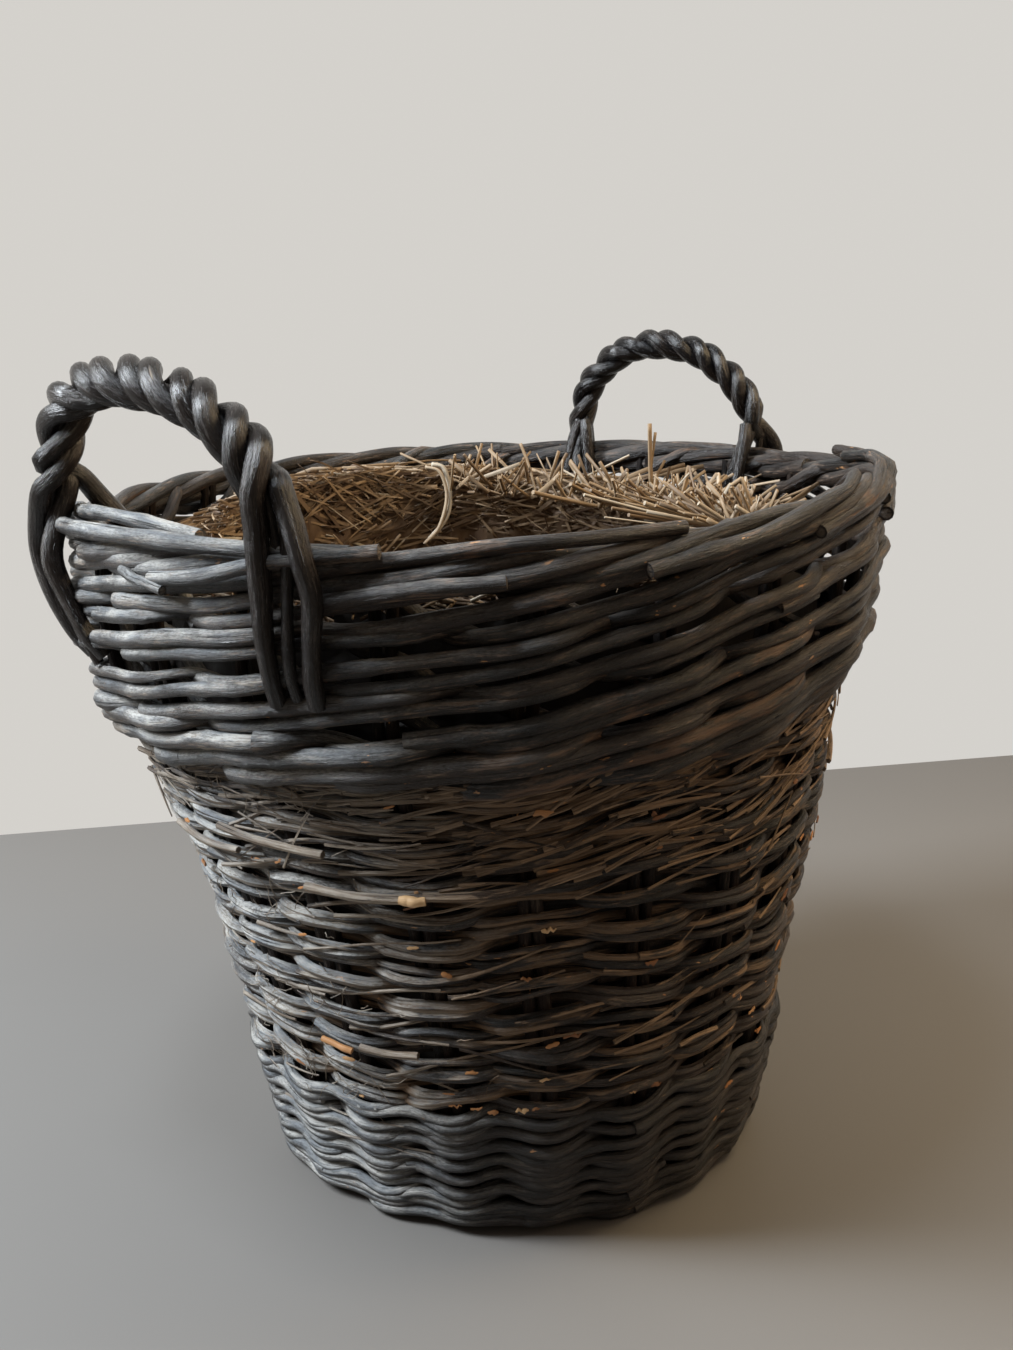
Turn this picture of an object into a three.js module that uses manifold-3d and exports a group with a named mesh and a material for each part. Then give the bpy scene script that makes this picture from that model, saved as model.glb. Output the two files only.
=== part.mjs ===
// A large, round, tapered willow log basket with two roped bow handles and a straw lining.
// Millimetres, +Z up. The origin is on the floor under the middle of the basket.
// The two handles stand on the rim near +X and -X, each turned a little towards +Y.
import * as THREE from "three";
import { mergeVertices } from "three/addons/utils/BufferGeometryUtils.js";
import Module from "manifold-3d";

const wasm = await Module();
wasm.setup();

// ---- Driving dimensions ----------------------------------------------------------------------
const STAKES = 20; // upright positions round the wall
const STAKE_STEP = (2 * Math.PI) / STAKES;
const FIRST_STAKE = STAKE_STEP / 2;
const STAKE_DEPTH = 8; // across the wall
const STAKE_WIDTH = 15; // along the wall: two sticks side by side
const STAKE_TOP = 443; // the border closes over the stake ends
const MARGIN = 1.2; // air between a weaver and the stake it bends round
const ROW_GAP = 0.5; // air between one row and the next

const FOOT_HEIGHT = 26;
const BASE_HEIGHT = 17; // middle of the base sticks above the floor
const BASE_STICK_REACH = 156; // from the middle of the base to a stick's end
const PIERCED_STICK = 11; // diameter
const PIERCED_PITCH = 13;
const THREADED_STICK = 6.4;
const THREADED_PITCH = 7.6;
const SLOT_HEIGHT = 7.2; // the split in a pierced stick
const SLOT_END_ROOM = 2; // how far the split runs past the outermost threaded stick
const PIERCED_STRAIGHT = 6; // how far a pierced stick stays straight past the threaded ones
const THREADED_STRAIGHT = 2; // how far a threaded stick stays straight past the pierced ones
const SPOKE_SHARES = [1, 0.76, 0.52]; // places along a spoke, as shares of its reach
const BASE_WEAVE_RADII = [98, 118]; // middles of the two rounds woven round the base sticks
const BASE_WEAVER_ACROSS = 4; // half of a base weaver's width, outward
const BASE_WEAVER_TALL = 2.5; // half of its height
const FOOT_INNER = 157;
const FOOT_OUTER = 175;
const STAKE_BEND_RADIUS = 162; // where a stake leaves the base and turns up

const RIM_BOTTOM = 444;
const RIM_TOP = 458;
const RIM_INNER = 238;
const RIM_OUTER = 262;

// The two handles were made by eye: they aren't quite opposite each other, nor quite alike.
const HANDLE_TURN = (4.75 * Math.PI) / 180;
const HANDLE_PLANE = 237; // from the basket's axis to the flat plane that a bow lies in
const HANDLE_SPRING = 462; // where the legs start to bend
const HANDLES = [
  {
    name: "handle_right",
    turn: HANDLE_TURN,
    halfSpan: 80, // from the middle of the bow to the middle of a leg
    rise: 71, // from the spring to the top of the bow
    bow: 2.6, // radius of the bow stick
    strand: 4.3, // radius of a strand
    rope: 7.4, // from the middle of the bow to the middle of a strand
    legGap: 1.6, // air between a leg and the rim
  },
  {
    name: "handle_left",
    turn: Math.PI - HANDLE_TURN,
    halfSpan: 95,
    rise: 80,
    bow: 3,
    strand: 5.6,
    rope: 9.6,
    legGap: 2.7,
  },
];
const ROPE_TURNS = 4;
const STRANDS = 3;
const ROPE_START = 0.09; // share of the bow below the twisted stretch, at each end
const LEG_SPREAD = 0.033; // radians between an outer leg and the middle of its pair
const SOCKET_GAP = 0.6; // air round a bow's end in the rim
const TUCK_HEIGHT = 353; // where the outer legs end, above the top wale
const INNER_LEG_END = 382;
const ROW_HALF = 6; // half of a border row's thickness, and a little air
const LEG_IN = 1.6; // how far a leg has come in above the rim, on its way to the bow

// Radius of the stakes' centre line at a few heights; the wall follows it.
const STAKE_LINE = [
  [30, 165],
  [60, 173],
  [90, 180],
  [120, 186],
  [180, 197],
  [240, 209],
  [300, 223],
  [350, 238],
  [400, 245],
  [458, 243],
];

// Rows of weaving, from the bottom up: name, how many, bottom, top and thickness across the wall.
// "samples" is the number of points on the row's wave from one stake to the next.
const ROWS = [
  { name: "upsett_wale", count: 3, bottom: 29, top: 97, thickness: 7, samples: 2 },
  { name: "slew_row", count: 8, bottom: 97, top: 326, thickness: 6, samples: 2 },
  { name: "top_wale", count: 1, bottom: 326, top: 349, thickness: 13, samples: 3 },
  { name: "border_row", count: 4, bottom: 349, top: 443.5, thickness: 10, samples: 3 },
];
const ROW_SIDES = 4;

// ---- Materials -------------------------------------------------------------------------------
function wicker(color, roughness) {
  return new THREE.MeshStandardMaterial({ color, roughness, metalness: 0 });
}
const BARK = wicker(0x2b2826, 0.62);
const SLEW = wicker(0x332e2a, 0.7);
const STICK = wicker(0x241c18, 0.6);
const BASE_WOOD = wicker(0x4a3d30, 0.8);
const ROPED = wicker(0x2c2c2f, 0.45);
const STRAW = wicker(0x9c7a45, 0.9);

// ---- Helpers ---------------------------------------------------------------------------------
const basket = new THREE.Group();

function add(name, geometry, material, parent = basket) {
  const mesh = new THREE.Mesh(geometry, material);
  mesh.name = name;
  parent.add(mesh);
  return mesh;
}

function stakeRadius(z) {
  const line = STAKE_LINE;
  const last = line.length - 1;
  let i = 0;
  while (i < last - 1 && z > line[i + 1][0]) i += 1;
  const [z0, r0] = line[i];
  const [z1, r1] = line[i + 1];
  return r0 + ((r1 - r0) * (z - z0)) / (z1 - z0);
}

function onWall(radius, angle, z) {
  return new THREE.Vector3(radius * Math.cos(angle), radius * Math.sin(angle), z);
}

// An oval outline for a rod or a pair of rods. On a stake, X runs along the wall and Y across it.
function ovalShape(halfX, halfY, sides) {
  const shape = new THREE.Shape();
  for (let i = 0; i < sides; i += 1) {
    const a = (2 * Math.PI * (i + 0.5)) / sides;
    const x = halfX * Math.cos(a);
    const y = halfY * Math.sin(a);
    if (i === 0) shape.moveTo(x, y);
    else shape.lineTo(x, y);
  }
  shape.closePath();
  return shape;
}

function rod(points, radius, sides, steps) {
  const path = new THREE.CatmullRomCurve3(points, false, "centripetal");
  return new THREE.ExtrudeGeometry(ovalShape(radius, radius, sides), { steps, extrudePath: path });
}

// A closed ring whose cross-section is placed by place(angle round the basket, angle in section).
function ring(sides, segments, place) {
  const geometry = new THREE.TorusGeometry(2, 1, sides, segments);
  const position = geometry.getAttribute("position");
  for (let i = 0; i < position.count; i += 1) {
    const x = position.getX(i);
    const y = position.getY(i);
    const round = Math.atan2(y, x);
    const section = Math.atan2(position.getZ(i), Math.hypot(x, y) - 2);
    const p = place(round, section);
    position.setXYZ(i, p.x, p.y, p.z);
  }
  geometry.computeVertexNormals();
  return geometry;
}

function solid(geometry) {
  const bare = geometry.clone();
  bare.deleteAttribute("normal");
  bare.deleteAttribute("uv");
  const merged = mergeVertices(bare, 1e-3);
  const mesh = new wasm.Mesh({
    numProp: 3,
    vertProperties: merged.getAttribute("position").array,
    triVerts: new Uint32Array(merged.index.array),
  });
  return new wasm.Manifold(mesh);
}

function cut(geometry, tools) {
  let body = solid(geometry);
  for (const tool of tools) body = body.subtract(solid(tool));
  const mesh = body.getMesh();
  const result = new THREE.BufferGeometry();
  result.setAttribute("position", new THREE.BufferAttribute(mesh.vertProperties, 3));
  result.setIndex(new THREE.BufferAttribute(mesh.triVerts, 1));
  result.computeVertexNormals();
  return result;
}

// ---- Base: five pierced sticks, five threaded through them, and two rounds of weaving ----------
// A stick lies straight across the middle and its two ends fan out as spokes of the round base.
function baseStickPoints(index, pitch, straight) {
  const side = index * pitch;
  const angle = index * STAKE_STEP;
  const reaches = SPOKE_SHARES.map((share) => share * BASE_STICK_REACH);
  const half = reaches.map((reach) => [reach * Math.cos(angle), reach * Math.sin(angle)]);
  half.push([straight, side]);
  const mirrored = half.map(([x, y]) => [-x, y]).reverse();
  return half.concat([[0, side]], mirrored).map(([x, y]) => new THREE.Vector3(x, y, 0));
}

function addBaseSticks() {
  const threadedHalf = 2 * THREADED_PITCH + THREADED_STICK / 2;
  const piercedHalf = 2 * PIERCED_PITCH + PIERCED_STICK / 2;
  for (let i = -2; i <= 2; i += 1) {
    const slot = new THREE.BoxGeometry(2 * (threadedHalf + SLOT_END_ROOM), 2 * PIERCED_STICK, SLOT_HEIGHT);
    slot.translate(0, i * PIERCED_PITCH, 0);
    const points = baseStickPoints(i, PIERCED_PITCH, threadedHalf + PIERCED_STRAIGHT);
    const stick = cut(rod(points, PIERCED_STICK / 2, 6, 14), [slot]);
    add(`base_stick_pierced_${i + 3}`, stick, BASE_WOOD).position.z = BASE_HEIGHT;
  }
  for (let i = -2; i <= 2; i += 1) {
    const points = baseStickPoints(i, THREADED_PITCH, piercedHalf + THREADED_STRAIGHT);
    const stick = rod(points, THREADED_STICK / 2, 5, 14);
    const mesh = add(`base_stick_threaded_${i + 3}`, stick, BASE_WOOD);
    mesh.position.z = BASE_HEIGHT;
    mesh.rotation.z = Math.PI / 2;
  }
}

function addBaseWeave() {
  const lift = PIERCED_STICK / 2 + BASE_WEAVER_TALL + MARGIN;
  BASE_WEAVE_RADII.forEach((radius, row) => {
    const geometry = ring(4, STAKES * 2, (round, section) => {
      const wave = Math.cos((STAKES / 2) * round + row * Math.PI);
      const out = BASE_WEAVER_ACROSS * Math.cos(section);
      const up = BASE_WEAVER_TALL * Math.sin(section);
      return onWall(radius + out, round, BASE_HEIGHT + lift * wave + up);
    });
    add(`base_weave_${row + 1}`, geometry, BASE_WOOD);
  });
}

// ---- Foot: the thick round of rods that carries the basket, flat where it stands ---------------
function addFoot() {
  const outline = [
    [FOOT_INNER, 0],
    [FOOT_OUTER - 4, 0],
    [FOOT_OUTER, 5],
    [FOOT_OUTER, FOOT_HEIGHT],
    [FOOT_OUTER - 3, FOOT_HEIGHT],
    [FOOT_OUTER - 4, 18],
    [FOOT_OUTER - 9, 12],
    [FOOT_INNER, 12],
    [FOOT_INNER, 0],
  ];
  const profile = outline.map(([r, z]) => new THREE.Vector2(r, z));
  add("foot_wale", upright(new THREE.LatheGeometry(profile, 40)), BARK);
}

// A lathe turns round Y; this stands its axis up along Z.
function upright(geometry) {
  return geometry.rotateX(Math.PI / 2);
}

// ---- Stakes: pushed in at the edge of the base, bent up, and run to the border -----------------
function stakeGeometry() {
  const root = [
    [128, BASE_HEIGHT],
    [151, BASE_HEIGHT],
    [STAKE_BEND_RADIUS, BASE_HEIGHT + 4],
  ];
  const wall = STAKE_LINE.filter(([z]) => z < STAKE_TOP);
  const top = [stakeRadius(STAKE_TOP), STAKE_TOP];
  const points = [...root, ...wall.map(([z, r]) => [r, z]), top];
  const curve = new THREE.CatmullRomCurve3(
    points.map(([r, z]) => new THREE.Vector3(r, 0, z)),
    false,
    "centripetal",
  );
  const outline = ovalShape(STAKE_WIDTH / 2, STAKE_DEPTH / 2, 6);
  return new THREE.ExtrudeGeometry(outline, { steps: 13, extrudePath: curve });
}

function addStakes() {
  const geometry = stakeGeometry();
  for (let i = 0; i < STAKES; i += 1) {
    const name = `stake_${String(i + 1).padStart(2, "0")}`;
    add(name, geometry, STICK).rotation.z = FIRST_STAKE + i * STAKE_STEP;
  }
}

// ---- Rows of weaving: each passes in front of one stake and behind the next ---------------------
function wovenRow(bottom, top, thickness, samples, phase) {
  const swing = STAKE_DEPTH / 2 + thickness / 2 + MARGIN;
  const middle = (bottom + top) / 2;
  const halfHeight = (top - bottom - ROW_GAP) / 2;
  return ring(ROW_SIDES, STAKES * samples, (round, section) => {
    const wave = Math.cos((STAKES / 2) * round + phase);
    const corner = section + Math.PI / ROW_SIDES;
    const z = middle + halfHeight * Math.sign(Math.sin(corner));
    const out = (thickness / 2) * Math.sign(Math.cos(corner));
    return onWall(stakeRadius(z) + swing * wave + out, round + FIRST_STAKE, z);
  });
}

function addRows() {
  let phase = 0;
  for (const { name, count, bottom, top, thickness, samples } of ROWS) {
    const height = (top - bottom) / count;
    for (let i = 0; i < count; i += 1) {
      const low = bottom + i * height;
      const label = count > 1 ? `${name}_${i + 1}` : name;
      const material = name === "slew_row" ? SLEW : BARK;
      add(label, wovenRow(low, low + height, thickness, samples, phase), material);
      phase += Math.PI;
    }
  }
}

// ---- Rim: the border's top edge, with a socket for each end of each bow -------------------------
function addRim() {
  const bevel = 4;
  const outline = [
    [RIM_INNER, RIM_BOTTOM],
    [RIM_OUTER, RIM_BOTTOM],
    [RIM_OUTER, RIM_TOP - bevel],
    [RIM_OUTER - bevel, RIM_TOP],
    [RIM_INNER + bevel, RIM_TOP],
    [RIM_INNER, RIM_TOP - bevel],
    [RIM_INNER, RIM_BOTTOM],
  ];
  const profile = outline.map(([r, z]) => new THREE.Vector2(r, z));
  const border = upright(new THREE.LatheGeometry(profile, 40));
  const sockets = [];
  for (const { turn, halfSpan, bow } of HANDLES) {
    for (const y of [-halfSpan, halfSpan]) {
      const radius = bow + SOCKET_GAP;
      const socket = upright(new THREE.CylinderGeometry(radius, radius, 40, 10));
      socket.translate(HANDLE_PLANE, y, (RIM_BOTTOM + RIM_TOP) / 2);
      sockets.push(socket.rotateZ(turn));
    }
  }
  add("rim_border", cut(border, sockets), BARK);
}

// ---- Handles: a bow stick with its ends in the border, and three strands twisted round it --------
class Bow extends THREE.Curve {
  constructor(handle) {
    super();
    this.handle = handle;
  }

  getPoint(t, target = new THREE.Vector3()) {
    const { halfSpan, rise } = this.handle;
    const a = Math.PI * t;
    const y = -halfSpan * Math.cos(a);
    return target.set(HANDLE_PLANE, y, HANDLE_SPRING + rise * Math.sin(a));
  }
}

function bowGeometry(handle) {
  const curve = new Bow(handle);
  const foot = RIM_BOTTOM + 2;
  const points = [new THREE.Vector3(HANDLE_PLANE, -handle.halfSpan, foot)];
  const steps = 12;
  for (let i = 0; i <= steps; i += 1) points.push(curve.getPoint(i / steps));
  points.push(new THREE.Vector3(HANDLE_PLANE, handle.halfSpan, foot));
  return rod(points, handle.bow, 5, 18);
}

// The leg's points below the twist, from the lowest up. Two strands run down outside the
// border and one inside it.
function legPoints(handle, strand, side) {
  const legAngle = Math.atan2(handle.halfSpan, HANDLE_PLANE);
  const inner = strand === 1;
  const spread = inner ? 0 : LEG_SPREAD * (strand === 0 ? 1 : -1);
  const angle = side * (legAngle + spread);
  const rowReach = STAKE_DEPTH + MARGIN + ROW_HALF + handle.strand;
  const gap = handle.legGap;
  const outer = [
    [stakeRadius(TUCK_HEIGHT) + rowReach + gap, TUCK_HEIGHT],
    [stakeRadius(400) + rowReach + gap, 400],
    [RIM_OUTER + handle.strand + gap, RIM_TOP - 8],
    [RIM_OUTER + handle.strand + gap - LEG_IN, RIM_TOP + 6],
  ];
  const inside = [
    [stakeRadius(INNER_LEG_END) - rowReach - gap, INNER_LEG_END],
    [stakeRadius(425) - rowReach - gap, 425],
    [stakeRadius(RIM_BOTTOM) - rowReach - gap, RIM_BOTTOM],
    [RIM_INNER - handle.strand - gap, RIM_TOP + 2],
  ];
  return (inner ? inside : outer).map(([r, z]) => onWall(r, angle, z));
}

function strandGeometry(handle, strand) {
  const bow = new Bow(handle);
  const steps = 13 * ROPE_TURNS;
  const across = new THREE.Vector3(1, 0, 0);
  const twist = [];
  for (let i = 0; i <= steps; i += 1) {
    const share = i / steps;
    const t = ROPE_START + (1 - 2 * ROPE_START) * share;
    const tangent = bow.getTangent(t);
    const outward = new THREE.Vector3().crossVectors(tangent, across).negate();
    const first = Math.PI / 3 + (strand * 2 * Math.PI) / STRANDS;
    const turn = first - 2 * Math.PI * ROPE_TURNS * share;
    const p = bow.getPoint(t);
    p.addScaledVector(across, handle.rope * Math.cos(turn));
    p.addScaledVector(outward, handle.rope * Math.sin(turn));
    twist.push(p);
  }
  const low = legPoints(handle, strand, -1);
  const high = legPoints(handle, strand, 1).reverse();
  return rod([...low, ...twist, ...high], handle.strand, 5, 64);
}

function addHandle(handle) {
  const group = new THREE.Group();
  group.rotation.z = handle.turn;
  basket.add(group);
  add(`${handle.name}_bow`, bowGeometry(handle), STICK, group);
  for (let i = 0; i < STRANDS; i += 1) {
    add(`${handle.name}_strand_${i + 1}`, strandGeometry(handle, i), ROPED, group);
  }
}

// ---- Straw: a loose nest that lines the wall and the floor and leaves the middle open -----------
function addStraw() {
  const outline = [
    [0, 32],
    [146, 32],
    [172, 120],
    [206, 318],
    [212, 355],
    [212, 422],
    [203, 430],
    [192, 420],
    [186, 318],
    [152, 130],
    [124, 56],
    [0, 50],
  ];
  const profile = outline.map(([r, z]) => new THREE.Vector2(r, z));
  add("straw_lining", upright(new THREE.LatheGeometry(profile, 30)), STRAW);
}

addBaseSticks();
addBaseWeave();
addFoot();
addStakes();
addRows();
addRim();
for (const handle of HANDLES) addHandle(handle);
addStraw();

export default basket;
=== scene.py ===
"""A large old willow log basket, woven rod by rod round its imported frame."""
import math

import bpy
import numpy as np
from mathutils import Matrix, Vector


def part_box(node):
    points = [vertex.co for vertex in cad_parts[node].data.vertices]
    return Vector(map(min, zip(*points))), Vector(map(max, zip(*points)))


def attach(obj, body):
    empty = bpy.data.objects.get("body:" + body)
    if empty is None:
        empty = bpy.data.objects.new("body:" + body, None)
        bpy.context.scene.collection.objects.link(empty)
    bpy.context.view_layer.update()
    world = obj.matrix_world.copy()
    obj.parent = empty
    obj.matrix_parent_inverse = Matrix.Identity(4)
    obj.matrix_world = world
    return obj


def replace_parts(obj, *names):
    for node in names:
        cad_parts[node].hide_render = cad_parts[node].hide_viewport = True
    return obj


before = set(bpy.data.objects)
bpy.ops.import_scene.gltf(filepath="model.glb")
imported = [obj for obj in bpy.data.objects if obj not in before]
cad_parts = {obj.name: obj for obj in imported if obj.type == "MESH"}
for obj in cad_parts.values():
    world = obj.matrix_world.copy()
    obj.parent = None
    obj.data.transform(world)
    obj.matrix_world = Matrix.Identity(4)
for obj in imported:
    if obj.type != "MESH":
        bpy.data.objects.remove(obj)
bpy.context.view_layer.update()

# ---- Named sizes, metres ----
MM = 0.001
FULL_TURN = 2 * math.pi
STAKES = 20
STEP = FULL_TURN / STAKES
FIRST_STAKE = STEP / 2
FRONT = math.radians(-139.75)  # direction from the basket's axis to the viewer
RIGHT = FRONT + math.pi / 2  # the viewer's right-hand side
BACK = FRONT + math.pi
STICK_RADIUS = 4.1 * MM  # one stick of a stake pair
BASE_MIDDLE = 17 * MM  # height of the base sticks' middles
WALL_RADIUS = 0.2  # roughly, to turn lengths round the wall into angles
# How far a row's outer face stands out from the stakes' centre line in the frame.
REACH = {"upsett_wale": 12.2 * MM, "slew_row": 11.2 * MM, "top_wale": 18.2 * MM, "border_row": 15.2 * MM}


def rng(seed):
    return np.random.default_rng(seed)


def smooth(low, high, x):
    """0 below low, 1 above high, smooth between."""
    t = np.clip((x - low) / (high - low), 0, 1)
    return t * t * (3 - 2 * t)


def bump(x, middle, width):
    """1 at the middle, falling away smoothly over the width."""
    return np.exp(-(((x - middle) / width) ** 2))


def wander(random, n, scale, amount):
    """A smooth random line of n values that strays by about amount, with bends every scale samples."""
    knots = max(4, int(n / scale) + 3)
    values = random.normal(0, amount, knots)
    x = np.linspace(0, knots - 1.001, n)
    i = x.astype(int)
    t = smooth(0, 1, x - i)
    return values[i] * (1 - t) + values[np.minimum(i + 1, knots - 1)] * t


def curve_through(points, per=7):
    """A smooth line through points (Catmull-Rom), with per steps from each to the next."""
    p = np.asarray(points, float)
    p = np.concatenate([[2 * p[0] - p[1]], p, [2 * p[-1] - p[-2]]])
    out = []
    t = np.linspace(0, 1, per, endpoint=False)[:, None]
    for a, b, c, d in zip(p, p[1:], p[2:], p[3:]):
        bend = (2 * a - 5 * b + 4 * c - d) * t**2 + (3 * b - a - 3 * c + d) * t**3
        out.append(0.5 * (2 * b + (c - a) * t + bend))
    out.append(p[-2:-1])
    return np.concatenate(out)


def polar(radius, angle, z):
    """Points from a radius, an angle and a height."""
    return np.stack([radius * np.cos(angle), radius * np.sin(angle), z + 0 * angle], axis=-1)


# ---- The wall's shape, read from the frame ----
def wall_profile():
    """Heights and radii of the stakes' centre line, from the boxes of the woven rows."""
    pairs = []
    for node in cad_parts:
        for kind, reach in REACH.items():
            if node.startswith(kind):
                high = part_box(node)[1]
                pairs.append((high[2], high[0] - reach))
    return np.array(sorted(pairs)).T


PROFILE_Z, PROFILE_R = wall_profile()
FOOT_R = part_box("foot_wale")[1][0]
RIM_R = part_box("rim_border")[1][0]
RIM_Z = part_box("rim_border")[1][2]
WALE_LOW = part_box("top_wale")[0][2]
BORDER_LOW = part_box("border_row_1")[0][2]


def stake_line(z):
    """Radius of the stakes' centre line at height z."""
    z = np.asarray(z, float)
    slope = (PROFILE_R[3] - PROFILE_R[0]) / (PROFILE_Z[3] - PROFILE_Z[0])
    low = PROFILE_R[0] + (z - PROFILE_Z[0]) * slope
    return np.where(z < PROFILE_Z[0], low, np.interp(z, PROFILE_Z, PROFILE_R))


def sag(z):
    """The old basket has settled a little: sideways shift of the wall at height z."""
    z = np.asarray(z, float)
    lean = np.clip((z - 0.05) / 0.27, 0, 1)
    fade = np.clip((0.47 - z) / 0.12, 0, 1)
    return 3 * MM + 2.5 * MM * smooth(0.0, 0.1, z) - 12 * MM * lean * (0.3 + 0.7 * fade)


def settled(points):
    """The same points, shifted sideways as the basket has settled."""
    return points + sag(points[..., 2])[..., None] * [math.cos(RIGHT), math.sin(RIGHT), 0]


def facing(angle):
    """Angle round the wall measured from the viewer, positive to the viewer's right."""
    return np.angle(np.exp(1j * (np.asarray(angle, float) - FRONT)))


def swelling(angle, z):
    """How far the worn wall stands out from a true round, in metres."""
    a = facing(angle)
    in_band = smooth(0.315, 0.385, z)
    shoulder = 14.5 * bump(a, -1.25, 0.75) * in_band
    below_it = 5 * bump(a, -1.3, 0.6) * smooth(0.22, 0.27, z) * (1 - in_band)
    belly = 8 * bump(a, 1.4, 0.6) * bump(z, 0.225, 0.075)
    tuck = -6 * bump(a, 1.35, 0.6) * bump(z, 0.345, 0.02)
    return (shoulder + below_it + belly + tuck) * MM


def lumps(angle, z):
    """Slow uneven swelling of the wall."""
    swell = 1.6 * np.sin(3 * angle + 9 * z) + 1.1 * np.sin(5 * angle - 14 * z + 1.3)
    return (swell + 0.9 * np.sin(8 * angle + 23 * z + 4.0)) * MM + swelling(angle, z)


def warp(angle, z):
    """Rows rise and dip together."""
    a = 1.5 * np.sin(4 * angle + 21 * z + 0.4) + 1.2 * np.sin(7 * angle - 17 * z + 2.1)
    return (a + 0.8 * np.sin(13 * angle + 31 * z)) * MM


def on_wall(angle, z, out):
    """Points on the wall: out is the distance outside the stakes' centre line."""
    z = z + 0 * angle
    return settled(polar(stake_line(z) + out + lumps(angle, z), angle, z))


def at(around, radius, z):
    """A point by degrees round from the viewer, and radius and height in millimetres."""
    return polar(radius * MM, FRONT + math.radians(around), z * MM)


# ---- Rods: swept tubes gathered into one mesh ----
STEEP = 0.35  # sine of the angle from upright, below which sideways is carried along a path


class Rods:
    """Collects rods, then makes one mesh of them. Each point carries what the materials read: grain
    (place on the rod, for streaks along it), tone (from rod to rod), bare (how much bark is gone),
    cut (a cut end) and how thick the pale film lies: dust, and painted light on the window side and the far
    rim."""

    def __init__(self):
        self.faces = []
        self.points = []
        self.read = {"grain": [], "tone": [], "bare": [], "cut": [], "dust_and_light": []}
        self.count = 0

    def rod(self, path, radius, random, sides=8, tone=None, bare=0.0, knobbly=0.05, flat=1.0, ends=0.75,
            knots=0.0):
        """Adds a rod along path. Radius and bare are one value or one per point, knobbly is how uneven
        the radius is, knots how many swellings a point, and flat squashes the rod across the wall."""
        path = np.asarray(path, float)
        n = len(path)
        radius = np.broadcast_to(np.asarray(radius, float), (n,)) * (1 + wander(random, n, 6, knobbly))
        if knots:
            where = np.arange(n)[:, None] - random.uniform(0, n, max(1, int(n * knots)))[None]
            radius = radius * (1 + 0.16 * bump(where, 0, 0.8).sum(axis=1).clip(0, 1))
        tangent, side, up = frames(path)
        turn = np.arange(sides) * FULL_TURN / sides
        c = np.cos(turn)[None, :, None]
        s = np.sin(turn)[None, :, None]
        rings = path[:, None] + radius[:, None, None] * (c * side[:, None] * flat + s * up[:, None])
        swell = 0.12 * radius  # how far an end's middle stands out
        caps = np.stack([path[0] - tangent[0] * swell[0], path[-1] + tangent[-1] * swell[-1]])
        self.points += [rings.reshape(-1, 3), caps]
        offset = random.uniform(0, 40, 3)
        along = np.concatenate([[0], np.cumsum(np.linalg.norm(np.diff(path, axis=0), axis=1))])
        mean = float(radius.mean())
        grain = np.empty((n, sides, 3))
        grain[..., 0] = mean * np.cos(turn)[None] + offset[0]
        grain[..., 1] = mean * np.sin(turn)[None] + offset[1]
        grain[..., 2] = along[:, None] + offset[2]
        self.read["grain"].append(np.concatenate([grain.reshape(-1, 3), grain[[0, -1], 0]]))
        if tone is None:
            tone = random.uniform(0, 1)
        self.per_point("tone", tone, n, sides)
        self.per_point("bare", bare, n, sides)
        self.per_point("dust_and_light", dust_and_light_at(path), n, sides)
        self.per_point("cut", 0.0, n, sides)
        self.read["cut"][-1][-2:] = ends
        self.skin(n, sides)

    def per_point(self, name, value, n, sides):
        """Spreads one value, or one per point of the path, over the rings and the two end points."""
        value = np.broadcast_to(np.asarray(value, float), (n,))
        self.read[name].append(np.concatenate([np.repeat(value, sides), value[[0, -1]]]))

    def skin(self, n, sides):
        """Faces between n rings, and a fan of triangles on each end."""
        i = np.arange(n - 1)[:, None] * sides
        j = np.arange(sides)[None]
        k = (j + 1) % sides
        quads = np.stack([i + j, i + k, i + sides + k, i + sides + j], axis=2).reshape(-1, 4) + self.count
        start = self.count + n * sides
        last = start - sides
        pairs = [(a, (a + 1) % sides) for a in range(sides)]
        first_cap = [[start, self.count + b, self.count + a] for a, b in pairs]
        last_cap = [[start + 1, last + a, last + b] for a, b in pairs]
        self.faces += [*quads.tolist(), *first_cap, *last_cap]
        self.count += n * sides + 2

    def build(self, name, material, slot, replaces=(), crease=50):
        """Makes the mesh, with edges sharper than crease degrees left sharp."""
        mesh = bpy.data.meshes.new(name)
        mesh.from_pydata(np.concatenate(self.points).tolist(), [], self.faces)
        for read, values in self.read.items():
            store(mesh, read, np.concatenate(values))
        mesh.shade_smooth()
        mesh.set_sharp_from_angle(angle=math.radians(crease))
        mesh.materials.append(material)
        piece = placed_piece(name, mesh)
        if replaces:
            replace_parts(piece, *replaces)


def store(mesh, name, values):
    """Keeps one value, or one vector, per point of the mesh."""
    kind, field = ("FLOAT_VECTOR", "vector") if values.ndim == 2 else ("FLOAT", "value")
    mesh.attributes.new(name, kind, "POINT").data.foreach_set(field, values.astype(np.float32).ravel())


def placed_piece(name, mesh):
    piece = bpy.data.objects.new(name, mesh)
    bpy.context.scene.collection.objects.link(piece)
    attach(piece, "root")
    return piece


def frames(path):
    """Along, sideways and up at each point of a path."""
    tangent = np.gradient(path, axis=0)
    tangent /= np.linalg.norm(tangent, axis=1)[:, None] + 1e-12
    side = np.cross(tangent, [0.0, 0.0, 1.0])
    if (np.linalg.norm(side, axis=1) < STEEP).any():
        side = carried_frame(tangent, side)
    side /= np.linalg.norm(side, axis=1)[:, None] + 1e-12
    return tangent, side, np.cross(side, tangent)


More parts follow.
